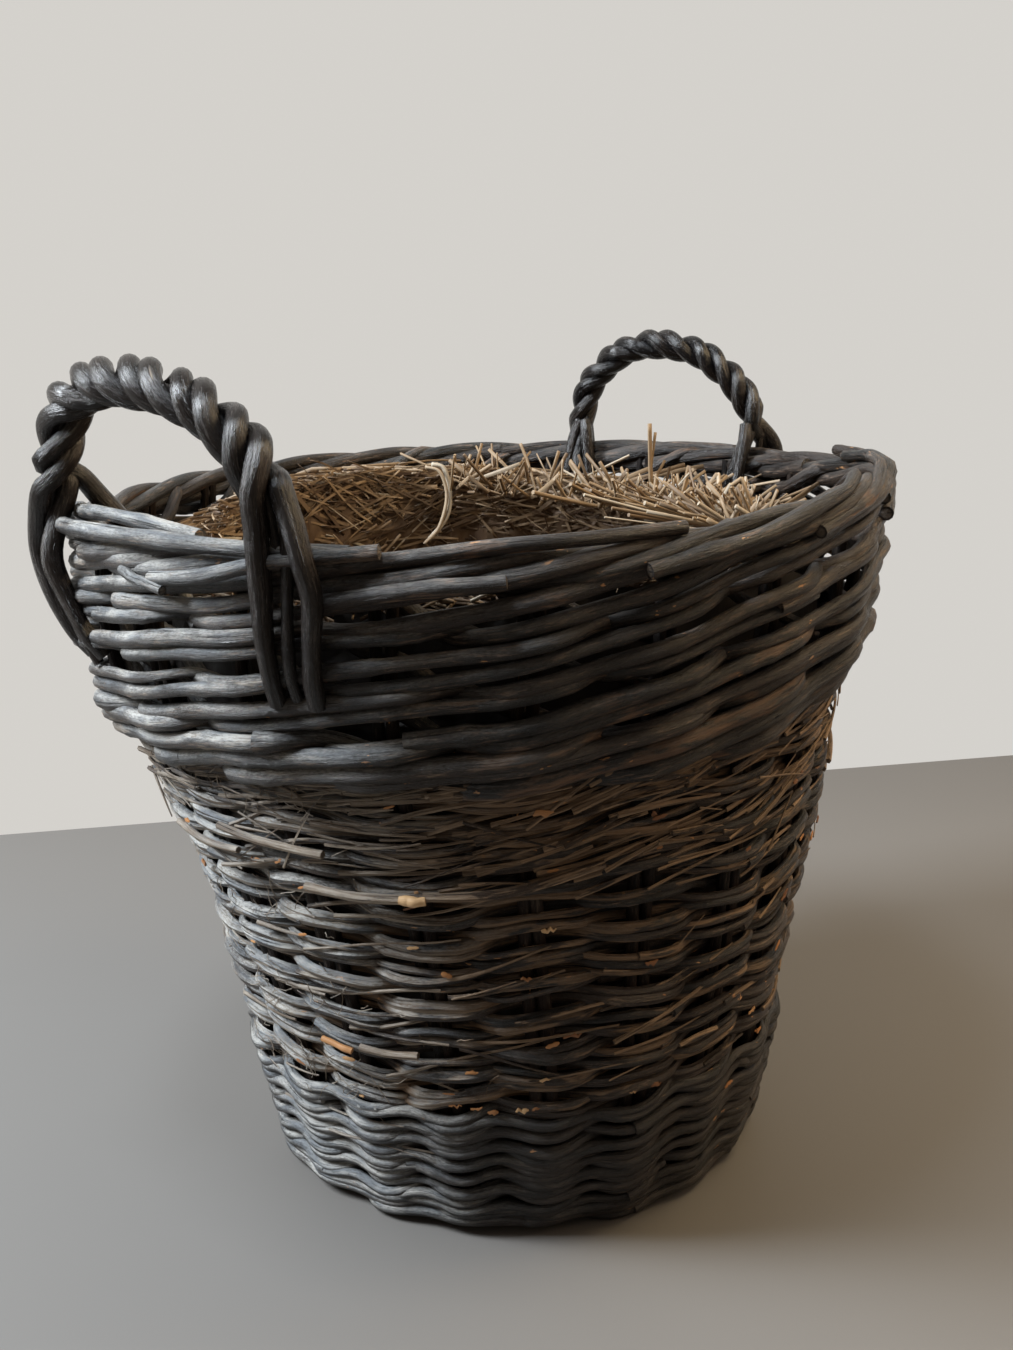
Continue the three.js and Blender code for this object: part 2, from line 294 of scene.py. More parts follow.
def dust_and_light_at(path):
    """How thick the pale film is here: dust, and painted light, most of all on its left side where the
    window lights it.
    """
    x, y, z = path.T
    a = facing(np.arctan2(y, x))
    outside = smooth(0.98, 1.0, np.hypot(x, y) / (stake_line(z) + MM))
    in_band = smooth(0.30, 0.36, z)
    high = bump(a, -0.95, 0.62) * in_band
    low = 1.7 * bump(a, -0.82, 0.50) * (1 - in_band)
    front = 0.10 * bump(a, -0.1, 0.5) + 0.3 * bump(a, -0.45, 0.4) * bump(z, 0.34, 0.03)
    # painted highlight: the far rim's rods get pale film where highlights fall on them
    back = 0.06 * bump(np.abs(a), math.pi, 1.3) * smooth(0.40, 0.44, z)
    return 0.10 + (high + low + front) * outside + back


def carried_frame(tangent, side):
    """Side vectors carried along a steep path, so that it doesn't twist."""
    start = side[0] if np.linalg.norm(side[0]) > STEEP else np.cross(tangent[0], [1.0, 0.0, 0.0])
    carried = [start / np.linalg.norm(start)]
    for t in tangent[1:]:
        v = carried[-1] - t * np.dot(carried[-1], t)
        carried.append(v / (np.linalg.norm(v) + 1e-12))
    return np.array(carried)


def nodes_like(*starts):
    return [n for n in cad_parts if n.startswith(starts)]


# ---- Materials ----
# The places of a Mix node's colour sockets.
COLOUR_A = 6
COLOUR_B = 7
COLOUR_OUT = 2


def add_node(tree, kind, inputs, output=0, **settings):
    """Adds a node. Inputs are values or other nodes' sockets, by name or place; gives one output."""
    node = tree.nodes.new("ShaderNode" + kind)
    for name, value in settings.items():
        setattr(node, name, value)
    for key, value in inputs.items():
        if hasattr(value, "is_linked"):
            tree.links.new(value, node.inputs[key])
        else:
            node.inputs[key].default_value = value
    return node.outputs[output]


class Graph:
    """Short names for building a material's node tree."""

    def __init__(self, name):
        self.material = bpy.data.materials.new(name)
        self.material.use_nodes = True
        self.tree = self.material.node_tree
        self.tree.nodes.clear()
        out = self.tree.nodes.new("ShaderNodeOutputMaterial")
        self.shader = self.tree.nodes.new("ShaderNodeBsdfPrincipled")
        self.tree.links.new(self.shader.outputs[0], out.inputs[0])
        self.place = self.node("TexCoord", {}, "Object")

    def node(self, kind, inputs, output=0, **settings):
        return add_node(self.tree, kind, inputs, output, **settings)

    def shade(self, name, value):
        """Joins a value to one of the shader's inputs."""
        self.tree.links.new(value, self.shader.inputs[name])

    def attribute(self, name, output="Fac"):
        return self.node("Attribute", {}, output, attribute_name=name)

    def noise(self, vector, scale, detail, rough):
        inputs = {"Vector": vector, "Scale": scale, "Detail": detail, "Roughness": rough}
        return self.node("TexNoise", inputs, "Fac")

    def streaks(self, across, along, detail, rough):
        """Noise on the rods' grain, with so many waves a metre across a rod and along it."""
        inputs = {0: self.attribute("grain", "Vector"), 1: (across, across, along)}
        return self.noise(self.node("VectorMath", inputs, operation="MULTIPLY"), 1.0, detail, rough)

    def math(self, operation, a, b, clamp=False):
        return self.node("Math", {0: a, 1: b}, operation=operation, use_clamp=clamp)

    def times(self, a, b, clamp=False):
        return self.math("MULTIPLY", a, b, clamp)

    def plus(self, a, b, clamp=False):
        return self.math("ADD", a, b, clamp)

    def spread(self, value, amount):
        """The value's departure from a half, times the amount."""
        return self.times(self.math("SUBTRACT", value, 0.5), amount)

    def ramp(self, value, low, high):
        """0 below low, 1 above high, smooth between."""
        inputs = {"Value": value, "From Min": low, "From Max": high}
        return self.node("MapRange", inputs, interpolation_type="SMOOTHSTEP")

    def span(self, value, low, high):
        """Maps 0..1 to low..high."""
        return self.node("MapRange", {"Value": value, "To Min": low, "To Max": high})

    def mix(self, factor, a, b):
        inputs = {"Factor": factor, COLOUR_A: opaque(a), COLOUR_B: opaque(b)}
        return self.node("Mix", inputs, COLOUR_OUT, data_type="RGBA")

    def bump(self, height, strength, distance, after=None):
        inputs = {"Strength": strength, "Distance": distance, "Height": height}
        if after is not None:
            inputs["Normal"] = after
        return self.node("Bump", inputs)


def opaque(colour):
    """A plain colour with its alpha; a socket stays as it is."""
    return (*colour, 1.0) if isinstance(colour, tuple) else colour


def scaled(colour, factor):
    return tuple(c * factor for c in colour)


FRESH_CHIP = ((0.42, 0.15, 0.04), (0.60, 0.36, 0.16))
CUT_END = (0.15, 0.115, 0.085)
# bare wood under the pale film of dust and painted light
TIMBER_UNDER_DUST_AND_LIGHT = (0.36, 0.305, 0.24)
# the pale film's colours: dust, and painted light from the window
DUST_AND_LIGHT_GREYS = ((0.16, 0.175, 0.19), (0.46, 0.455, 0.43))
# painted shade inside the bark's cracks
CRACK_SHADE = (0.003, 0.0025, 0.002)


def bark(name, dark, warm, bare_level=0.7, rough=(0.5, 0.75), gloss=0.25, wood=(0.26, 0.16, 0.085), dust_and_light=1.0,
         scuffed=(0.075, 0.058, 0.044), chips=1.0, relief=1.0):
    """Weathered willow: dark and warm bark, pale scuffs, a pale film of dust and painted light, bare wood
    where bark is gone, and cracks darkened with painted shade.
    Bark goes where the rod's bare value is above bare_level; rough is the range of roughness; the
    pale film, the chips and the relief are set by how much of each there is."""
    g = Graph(name)
    tone = g.attribute("tone")
    dust_and_light_here = g.attribute("dust_and_light")
    streak = g.streaks(430, 24, 6.0, 0.65)
    patch = g.streaks(140, 30, 4.0, 0.6)
    speck = g.streaks(1300, 380, 3.0, 0.6)
    fleck = g.streaks(620, 75, 6.0, 0.72)
    # cracks: thin splits along the grain, their dark colour painted shade
    crack_and_shade = g.ramp(g.streaks(760, 15, 5.0, 0.7), 0.40, 0.33)
    # bark: dark to warm from rod to rod and in patches, lighter in streaks, with short pale scuffs
    base = g.mix(g.ramp(g.plus(g.times(tone, 0.6), patch), 0.5, 1.0), dark, warm)
    base = g.mix(g.times(g.ramp(streak, 0.5, 0.74), 0.65), base, scaled(warm, 2.8))
    scuff = g.times(g.ramp(fleck, 0.545, 0.60), g.span(g.ramp(patch, 0.40, 0.62), 0.1, 1.0), clamp=True)
    base = g.mix(g.times(scuff, 0.9), base, scuffed)
    # bark gone: wood shows in long patches, greyer under the pale film of dust and painted light
    worn = g.plus(g.plus(g.attribute("bare"), g.spread(patch, 1.7)), g.spread(streak, 0.5))
    worn = g.ramp(worn, bare_level - 0.35, bare_level - 0.2)
    timber = g.mix(g.ramp(dust_and_light_here, 0.25, 0.8), wood, TIMBER_UNDER_DUST_AND_LIGHT)
    timber = g.mix(g.ramp(streak, 0.66, 0.34), timber, scaled(wood, 0.35))
    base = g.mix(g.times(worn, g.span(tone, 0.55, 1.0)), base, timber)
    # fresh chips, in a few places only
    some_places = g.ramp(g.noise(g.place, 17.0, 2.0, 0.5), 0.50, 0.56)
    chip = g.times(g.ramp(g.streaks(210, 85, 3.0, 0.6), 0.685, 0.70), some_places)
    base = g.mix(g.times(chip, chips), base, g.mix(speck, *FRESH_CHIP))
    base = g.mix(g.ramp(g.attribute("cut"), 0.18, 0.5), base, CUT_END)
    # the pale film: dust in patches, and painted light that pales the window side and the faces that look up
    film = dust_and_top_light(g, dust_and_light_here, speck, streak, dust_and_light)
    base = g.mix(film, base, g.mix(g.ramp(patch, 0.35, 0.65), *DUST_AND_LIGHT_GREYS))
    g.shade("Base Color", g.mix(g.times(crack_and_shade, 0.85), base, CRACK_SHADE))
    matt = g.plus(g.plus(g.span(patch, *rough), g.times(film, 0.35)), g.spread(fleck, 1.1))
    g.shade("Roughness", g.plus(matt, g.times(worn, 0.15), clamp=True))
    g.shader.inputs["Specular IOR Level"].default_value = gloss
    ridges = g.bump(fleck, 0.8, 1.4 * MM * relief, g.bump(streak, 0.9, 2.6 * MM * relief))
    hollows = g.bump(patch, 0.8, 3.2 * MM * relief, ridges)
    splits = g.bump(g.times(crack_and_shade, -1.0), 0.9, 2.4 * MM * relief, hollows)
    g.shade("Normal", g.bump(speck, 0.5, 0.5 * MM * relief, splits))
    return g.material


def dust_and_top_light(g, dust_and_light_here, speck, streak, dust_and_light):
    """Where the pale film lies: in patches, and thickest where a rod faces up. It is dust, and painted light
    too: tops painted pale and undersides left dark, as if lit from above.
    """
    upright = g.node("SeparateXYZ", {0: g.node("NewGeometry", {}, "Normal")}, "Z")
    # painted top light as well as dust: faces that look up get the full film, undersides a tenth of it
    upward = g.span(g.ramp(upright, -0.45, 0.75), 0.10, 1.15)
    mottle = g.plus(g.times(g.noise(g.place, 14.0, 5.0, 0.7), 0.6), g.times(speck, 0.5))
    mottle = g.plus(mottle, g.times(streak, 0.35))
    return g.times(g.times(g.times(upward, g.ramp(mottle, 0.5, 0.93)), dust_and_light_here), dust_and_light, clamp=True)


def straw_material(name, pale, gold, brown):
    """Dry stems, from brown through gold to pale by each stem's tone."""
    g = Graph(name)
    tone = g.attribute("tone")
    fibre = g.streaks(900, 30, 4.0, 0.6)
    base = g.mix(g.ramp(tone, 0.0, 0.62), brown, gold)
    base = g.mix(g.ramp(tone, 0.74, 1.0), base, pale)
    base = g.mix(g.times(g.ramp(fibre, 0.4, 0.75), 0.45), base, scaled(gold, 0.45))
    g.shade("Base Color", base)
    g.shade("Roughness", g.span(fibre, 0.45, 0.75))
    g.shade("Normal", g.bump(fibre, 0.4, 0.5 * MM))
    return g.material


BARK = bark("willow_bark", (0.004, 0.0034, 0.0032), (0.017, 0.0098, 0.0062), 0.66, (0.24, 0.56), 0.5,
            wood=(0.20, 0.105, 0.055), scuffed=(0.17, 0.115, 0.08))
SLEW = bark("willow_slew", (0.005, 0.004, 0.0036), (0.027, 0.016, 0.0105), 0.62, (0.32, 0.62), 0.45,
            scuffed=(0.20, 0.14, 0.095))
UPSETT = bark("willow_upsett", (0.005, 0.0044, 0.0042), (0.017, 0.0112, 0.0085), 0.86, (0.28, 0.62), 0.5)
STICKS = bark("stake_wood", (0.0045, 0.003, 0.0025), (0.016, 0.0085, 0.0055), 1.0, gloss=0.2, dust_and_light=0.2)
BASEWOOD = bark("base_wood", (0.014, 0.0115, 0.010), (0.036, 0.026, 0.019), 0.9, gloss=0.2)
ROPE = bark("roped_handle", (0.0028, 0.0028, 0.0034), (0.009, 0.006, 0.005), 0.92, (0.10, 0.26), 0.42,
            dust_and_light=0.04, scuffed=(0.05, 0.042, 0.038), chips=0.0, relief=0.5)
# painted shade: the dark straw for the mat's outer face, which lies in the shadow behind the wicker wall
SHADED_STRAW = straw_material("straw_painted_shade", (0.03, 0.02, 0.012), (0.016, 0.010, 0.006), (0.008, 0.005, 0.003))
STRAW = straw_material("straw", (0.60, 0.55, 0.45), (0.31, 0.215, 0.125), (0.08, 0.043, 0.022))
SPLINTERS = bark("splintered_willow", (0.009, 0.0065, 0.005), (0.045, 0.027, 0.016), 0.5, (0.4, 0.65), 0.4,
                 wood=(0.40, 0.27, 0.165), dust_and_light=0.3, scuffed=(0.32, 0.22, 0.14))
FRESH = straw_material("fresh_wood", (0.66, 0.44, 0.23), (0.44, 0.20, 0.07), (0.17, 0.07, 0.028))


# ---- Stakes ----
def stake_sticks():
    """Two sticks side by side at each stake, bent up out of the base."""
    random, rods = rng(11), Rods()
    n = 70
    for i in range(STAKES):
        angle = FIRST_STAKE + i * STEP
        lean = random.normal(0, 0.006)
        for half in (-1, 1):
            z = np.linspace(12 * MM, RIM_Z - 12 * MM, n)
            apart = half * 1.04 * STICK_RADIUS / stake_line(z)
            a = angle + apart + lean * (z / RIM_Z) + wander(random, n, 14, 0.0035)
            upright = on_wall(a, z, wander(random, n, 16, 0.5 * MM))
            root = root_of_stake(angle + apart[0])
            path = np.concatenate([root, upright[2:]])
            taper = np.concatenate([np.full(len(root), 1.12), np.linspace(1.12, 0.82, n)[2:]])
            rods.rod(path, STICK_RADIUS * taper, random, 8, bare=0.05)
    rods.build("stakes", STICKS, "stake_wood", nodes_like("stake_"))


def root_of_stake(angle):
    """The stretch that lies in the base and bends up into the wall."""
    bend = 16 * MM
    end = float(stake_line(34 * MM))
    t = np.linspace(0, 1, 10)[1:] * math.pi / 2
    r = np.concatenate([np.linspace(126 * MM, end - bend, 6), end - bend + bend * np.sin(t)])
    z = np.concatenate([np.full(6, BASE_MIDDLE), BASE_MIDDLE + bend * (1 - np.cos(t))])
    return settled(polar(r, angle + 0 * r, z))


# ---- Waling: rods that pass in front of some stakes and behind one ----
def wale(rods, random, low, height, strands, radius, out_face, rise=1.0, breaks=2, first=0.0, bare=0.0,
         taper=0.82, sides=8, behind=1.0, unison=0.0, lift=None, shingle=0.0, loose=0.9 * MM):
    """One round of waling. Each of the strands passes in front of strands-1 stakes and behind the next;
    it rises through the round's height on the outside, and drops back while it is hidden.
    out_face is how far the outer face stands out from the stake line, behind how far the rods go in
    behind a stake, breaks how many rods make up a strand and first where the first one starts. unison
    raises all strands together at the stakes, or lowers them there if it is negative, shingle moves them
    outward as they rise, lift(angle) raises the round, and loose is how unevenly the rods lie."""
    centre_out = out_face - radius
    for k in range(strands):
        cuts = first + k * 0.055 + np.sort(random.uniform(0, 1, breaks)) * FULL_TURN
        for c, start in enumerate(cuts):
            stop = (cuts[c + 1] if c + 1 < len(cuts) else cuts[0] + FULL_TURN) + random.uniform(0.05, 0.14)
            n = max(12, int((stop - start) / 0.021))
            a = np.linspace(start, stop, n)
            t = (a - FIRST_STAKE) / STEP - k
            cycle = np.mod(t, strands)
            edge = np.minimum(cycle, strands - cycle)
            front = smooth(0.12, 0.88, edge)
            out = centre_out * front - behind * (STICK_RADIUS + radius * 0.9) * (1 - front)
            out = out + shingle * (cycle / strands - 0.5) * front
            bulge = 1.6 * MM * np.cos(FULL_TURN * t) * front
            climb = rise * (cycle / strands - 0.5) * smooth(0.0, 0.6, edge)
            wave = unison * np.cos(FULL_TURN * (a - FIRST_STAKE) / STEP)
            z = low + height * (0.5 + climb) + wave + wander(random, n, 18, 0.7 * MM) + warp(a, low) * 0.8
            if lift is not None:
                z = z + lift(a)
            z = z + random.normal(0, loose)
            width = np.linspace(1.1, taper, n) * radius * random.uniform(0.82, 1.15)
            path = on_wall(a, z, out + bulge + wander(random, n, 15, 0.6 * MM))
            rods.rod(path, width, random, sides, bare=bare + wander(random, n, 30, 0.12), knots=0.05)


def upsett():
    random, rods = rng(23), Rods()
    rounds = 7
    low = 16 * MM
    height = (97 * MM - low) / rounds
    for i in range(rounds):
        wale(rods, random, low + i * height, height, 3, 3.5 * MM, 11.2 * MM, breaks=3,
             first=random.uniform(0, 6.2), unison=-2.2 * MM, rise=0.95, bare=-0.05)
    rods.build("upsett_waling", UPSETT, "willow_bark", nodes_like("upsett_wale"))


def foot():
    random, rods = rng(29), Rods()
    out_face = FOOT_R - 5 * MM - float(stake_line(8 * MM))
    wale(rods, random, 4.1 * MM, 13 * MM, 3, 4.3 * MM, out_face, first=1.1, rise=0.55, behind=1.3)
    wale(rods, random, 10.5 * MM, 12 * MM, 3, 4.0 * MM, 10.6 * MM, first=4.0, rise=0.8)
    rods.build("foot_waling", UPSETT, "willow_bark", ["foot_wale"])


def raised_front(a):
    """The border stands a little higher at the viewer's right."""
    d = facing(a)
    return 9 * MM * bump(d, 1.15, math.sqrt(0.35)) - 3 * MM * bump(d, -0.2, math.sqrt(0.3))


def top_wale():
    random, rods = rng(31), Rods()

    def lift(a):
        return 0.2 * raised_front(a) + 17 * MM * bump(facing(a), 1.35, 0.55)

    wale(rods, random, WALE_LOW - 7 * MM, 36 * MM, 4, 5.4 * MM, 19.5 * MM, rise=1.1, shingle=3 * MM,
         loose=1.2 * MM, first=FRONT - 1.35, bare=0.10, sides=10, taper=0.86, lift=lift)
    rods.build("top_waling", BARK, "willow_bark", ["top_wale"])


def border():
    random, rods = rng(37), Rods()
    rounds = 3
    low = BORDER_LOW - 2 * MM
    height = (RIM_Z - 12 * MM - low) / rounds
    for i in range(rounds):
        share = 0.35 + 0.3 * i
        wale(rods, random, low + i * height, height * 1.2, 4, 4.5 * MM, 16.8 * MM, rise=1.25,
             first=FRONT - 1.28 + 0.35 * i, bare=0.07, sides=10, taper=0.8, shingle=4.5 * MM,
             loose=1.6 * MM, lift=lambda a: share * raised_front(a))
    rods.build("border_rods", BARK, "willow_bark", nodes_like("border_row"))


def rim():
    """The rolled edge: rods twisted slowly round the top, each strand of two lengths."""
    random, rods = rng(41), Rods()
    strands = 4
    radius = 5.2 * MM
    twist = 7.2 * MM
    turns = 6
    middle_r = RIM_R - 13.5 * MM
    middle_z = RIM_Z - 12.6 * MM
    for k in range(strands):
        first, second = FRONT - 1.2 + 0.09 * k, FRONT + 1.9 + 0.4 * k
        for start, stop in ((first, second + 0.10), (second, first + FULL_TURN + 0.10)):
            n = int((stop - start) / 0.02)
            a = np.linspace(start, stop, n)
            turn = turns * a + k * FULL_TURN / strands + wander(random, n, 40, 0.12)
            r = middle_r + twist * np.cos(turn) + lumps(a, 0.45)
            z = middle_z + twist * 0.9 * np.sin(turn) + raised_front(a) + wander(random, n, 30, 0.8 * MM)
            width = radius * np.linspace(1.1, 0.85, n)
            rods.rod(settled(polar(r, a, z)), width, random, 10, bare=wander(random, n, 30, 0.1))
    rods.build("rim_rods", BARK, "willow_bark", ["rim_border"])


# Cut butts and rods that lie loose on the border and the rim: radius, then degrees round from the
# viewer, radius and height along them, in millimetres.
LYING = [
    (4.8, [(-74, 262, 458), (-66, 265, 463), (-52, 264, 467), (-36, 259, 461)]),
    (5.0, [(-76, 272, 452), (-64, 276, 456), (-48, 273, 459), (-30, 268, 458), (-16, 262, 456)]),
    (4.6, [(-43, 270, 437), (-36, 274, 441), (-26, 272, 451), (-12, 264, 457)]),
    (3.4, [(-49, 270, 440), (-44, 275, 436), (-40, 274, 433)]),
    (5.0, [(-19, 262, 430), (-10, 266, 437), (1.5, 266, 441)]),
    (4.4, [(-22, 258, 446), (-8, 258, 454), (8, 256, 459), (24, 249, 459)]),
    (4.6, [(18, 260, 440), (34, 262, 452), (50, 255, 464), (60, 246, 468)]),
    (4.2, [(44, 259, 446), (58, 259, 458), (72, 253, 468), (80, 246, 468)]),
    (4.4, [(66, 258, 452), (78, 257, 463), (88, 251, 466), (96, 244, 461)]),
    (4.2, [(70, 257, 438), (82, 259, 450), (92, 255, 461), (101, 246, 464)]),
]


def loose_rods():
    random, rods = rng(43), Rods()
    for radius, points in LYING:
        path = curve_through([at(*p) for p in points], 8)
        n = len(path)
        path = path + np.stack([wander(random, n, 9, 0.6 * MM) for _ in range(3)], 1)
        bare = wander(random, n, 9, 0.12) + 0.05
        rods.rod(path, radius * MM * np.linspace(1.04, 0.86, n), random, 10, knots=0.08, ends=1.0, bare=bare)
    rods.build("loose_rods", BARK, "willow_bark")


# ---- Slewing: rows of two or three rods, in front of one stake and behind the next ----
SLEW_RADIUS = {2: 3.3 * MM, 3: 2.45 * MM}  # by how many rods lie in the row
TRIPLE_SHARE = 0.28  # of the rows have three rods, and so have the top ones
TRIPLE_TOP = 3


def slewing():
    """Rows up the wall; each strand of a row is made of overlapping rods."""
    random, rods = rng(53), Rods()
    low = 93 * MM
    high = WALE_LOW + 4 * MM
    rows = int(round((high - low) / (10.9 * MM)))
    pitch = (high - low) / rows
    for row in range(rows):
        z_row = low + (row + 0.5) * pitch
        many = 3 if random.uniform() < TRIPLE_SHARE or row >= rows - TRIPLE_TOP else 2
        phases = random.uniform(0, 6.3), random.uniform(0, 6.3)
        for strand in range(many):
            start = random.uniform(0, FULL_TURN)
            end = start + FULL_TURN
            while start < end - 0.1:
                length = random.uniform(0.75, 1.25) / float(stake_line(z_row))
                stop = min(start + length, end) + random.uniform(0.04, 0.16)
                place = strand - (many - 1) / 2
                slew_rod(rods, random, row, start, stop, z_row, place, SLEW_RADIUS[many], phases)
                start += length
    rods.build("slewed_weave", SLEW, "willow_slew", nodes_like("slew_row"))


def slew_rod(rods, random, row, start, stop, z_row, place, size, phases):
    """One rod of a row, so many places above the row's middle; phases set how the row drifts."""
    n = max(14, int((stop - start) / 0.024))
    a = np.linspace(start, stop, n)
    side = facing(a)
    wave = np.cos((STAKES / 2) * (a - FIRST_STAKE) + row * math.pi)
    out = 0.84 * (STICK_RADIUS + size) * np.tanh(1.7 * wave) / math.tanh(1.7)
    out = out + wander(random, n, 9, 0.6 * MM) + random.normal(0, 0.5 * MM)
    z_here = z_row + 9 * MM * np.tanh(side / 0.4) * bump(side, 0.15, 0.8) * smooth(0.2, 0.28, z_row)
    drift = 1.3 * MM * np.sin(3 * a + phases[0]) + 0.9 * MM * np.sin(6 * a + phases[1])
    z = z_here + place * size * 1.86 + drift + 1.7 * warp(a, z_here) + wander(random, n, 9, 1.5 * MM)
    radius = size * random.uniform(0.8, 1.2) * np.linspace(1.18, 0.76, n)
    tan = random.uniform() < 0.5
    pale_side = (0.5 * tan + 0.04) * bump(side, -0.85, 0.6) + 0.2 * bump(side, 0.1, 0.6)
    bare = random.normal(0.0, 0.13) + 0.2 * (z_here > 0.27) + pale_side + wander(random, n, 22, 0.16)
    rods.rod(on_wall(a, z, out), radius, random, 7, bare=bare, knobbly=0.085, knots=0.08)


# Broken weavers that catch the eye: radius, how bare, then (degrees round, height) along them.
BROKEN = [
    (2.8, 0.3, [(-30, 253), (-20, 252), (-13, 253)]),
    (2.8, 0.15, [(-11, 254.4), (2, 258), (15.4, 270.5)]),
    (2.4, 0.5, [(-28, 140.5), (-22, 139), (-17, 140)]),
    (1.4, 0.4, [(30, 132), (34, 134), (39, 133)]),
    (2.4, 0.4, [(-45, 282), (-36, 279), (-25, 278)]),
    (2.2, 0.45, [(-60, 268), (-50, 266), (-42, 268)]),
]
# Split ends with no bark left: the same.
PEELED = [
    (3.1, 0.95, [(-14.5, 253), (-12.5, 252.5), (-10.6, 253)]),
    (2.0, 0.8, [(-35.4, 142), (-32, 139.5), (-29.5, 137.5)]),
]
FIBRES = 330
COBWEBS = 150
COBWEB_HEIGHTS = [0.315, 0.235, 0.165, 0.11]
CHIPS = 90


def broken_rod(random, points, out, stray):
    """A rod's line on the wall, through (degrees round, height) points."""
    around, _, z = curve_through([(around, 0, z) for around, z in points], 6).T
    return on_wall(FRONT + np.radians(around), z * MM, out + wander(random, len(z), 8, stray))


def fibres():
    """Frayed weavers hang out below the top waling, and a few broken ends stick out lower down."""
    random, rods = rng(59), Rods()
    for i in range(FIBRES):
        stray = random.uniform() < 0.22
        a0 = FRONT + random.normal(-0.1, 1.15)
        z0 = random.uniform(0.06, 0.26) if i % 5 == 0 else 0.335 - 0.075 * random.uniform() ** 1.3
        length = random.uniform(0.015, 0.06) if stray else random.uniform(0.03, 0.11)
        s = np.linspace(-0.5, 0.5, 10) * length
        tilt = random.normal(0.08 + 0.14 * float(bump(facing(a0), 0.2, 0.6)), 0.35 if stray else 0.1)
        a = a0 + s * math.cos(tilt) / float(stake_line(z0))
        z = z0 + s * math.sin(tilt) + random.normal(0, 0.8) * s * s + 1.7 * warp(a, z0)
        lift = random.uniform(7.5, 11) if stray else random.uniform(5.5, 9.0)
        out = lift * MM + random.normal(0, 0.04) * s + abs(random.normal(0, 1.0)) * s * s
        radius = random.uniform(0.5, 1.2) * MM * (1 if stray else 1.7) * np.linspace(1, 0.5, 10)
        bare = random.uniform(0.0, 0.95)
        path = on_wall(a, z, np.maximum(out, 5 * MM))
        flat = random.uniform(0.4, 1)
        rods.rod(path, radius, random, 5, bare=bare, flat=flat, tone=random.uniform(0.3, 1))
    for i in range(COBWEBS):
        a0 = FRONT + random.normal(-0.75, 0.22)
        z0 = random.choice(COBWEB_HEIGHTS) + random.normal(0, 0.012)
        s = np.linspace(-0.5, 0.5, 8) * random.uniform(0.006, 0.022)
        tilt = random.uniform(0, math.pi)
        curl = random.normal(0, 22) * s * s
        a = a0 + (s * math.cos(tilt) - curl * math.sin(tilt)) / WALL_RADIUS
        z = z0 + s * math.sin(tilt) + curl * math.cos(tilt)
        out = random.uniform(7, 12) * MM + wander(random, 8, 3, MM)
        rods.rod(on_wall(a, z, out), 0.3 * MM, random, 4, bare=0.9, tone=1.0)
    for radius, bare, points in BROKEN:
        path = broken_rod(random, points, 12.5 * MM, 0.5 * MM)
        rods.rod(path, radius * MM, random, 7, bare=bare + 0.2, tone=1.0, ends=1.0)
    rods.build("frayed_fibres", SPLINTERS, "willow_slew")


# The flakes that stand out: degrees round from the viewer, then height, length and radius in mm.
FLAKES = [
    (-12, 103, 9, 1.2), (-8, 101.5, 8, 1.4), (-5, 99, 7, 2.3), (0.5, 101, 8, 2), (3, 102, 5, 1.4),
    (7, 305, 10, 2.2), (7, 229, 8, 2), (24, 196, 8, 1.9), (3, 197, 6, 1.5), (10, 155, 11, 1.8),
    (26, 106, 8, 2), (21, 106, 6, 1.5), (-8, 129, 9, 1.5), (5, 124, 7, 1.3), (48, 75, 9, 1.7),
    (58, 200, 9, 1.8), (52, 125, 8, 1.6), (-58, 270, 8, 1.8), (-62, 235, 9, 1.9), (-40, 262, 8, 1.6),
]
FLAKE_SHAPE = np.array([0.4, 0.9, 0.7, 1, 0.6, 0.3])
CHIP_SHAPE = np.array([0.5, 1, 0.8, 1, 0.4])


def chips():
    """Flakes of fresh wood where bark has been knocked off, mostly where rods cross a stake."""
    random, rods = rng(61), Rods()
    for radius, bare, points in PEELED:
        path = broken_rod(random, points, 14 * MM, 0.6 * MM)
        rods.rod(path, radius * MM, random, 8, tone=bare, ends=0.0, knobbly=0.12)
    for around, z0, length, thick in FLAKES:
        s = np.linspace(-0.5, 0.5, 6) * length * MM
        a = FRONT + math.radians(around) + s / WALL_RADIUS
        z = z0 * MM + 0.15 * s + wander(random, 6, 2, 0.7 * MM)
        radius = 0.85 * thick * MM * FLAKE_SHAPE
        rods.rod(on_wall(a, z, 9.2 * MM), radius, random, 6, flat=0.6, ends=0.0, knobbly=0.25)
    for i in range(CHIPS):
        stake = random.integers(0, STAKES)
        angle = FIRST_STAKE + stake * STEP + random.normal(0, 0.03)
        z0 = 0.036 + 0.30 * random.uniform() ** 0.8
        s = np.linspace(-0.5, 0.5, 5) * random.uniform(0.003, 0.009)
        tilt = random.normal(0.1, 0.35)
        a = angle + s * math.cos(tilt) / float(stake_line(z0))
        path = on_wall(a, z0 + s * math.sin(tilt), random.uniform(8.0, 10.2) * MM)
        radius = random.uniform(0.7, 1.7) * MM * CHIP_SHAPE
        rods.rod(path, radius, random, 6, flat=0.5, ends=0.0, knobbly=0.2)
    rods.build("wood_chips", FRESH, "willow_slew")


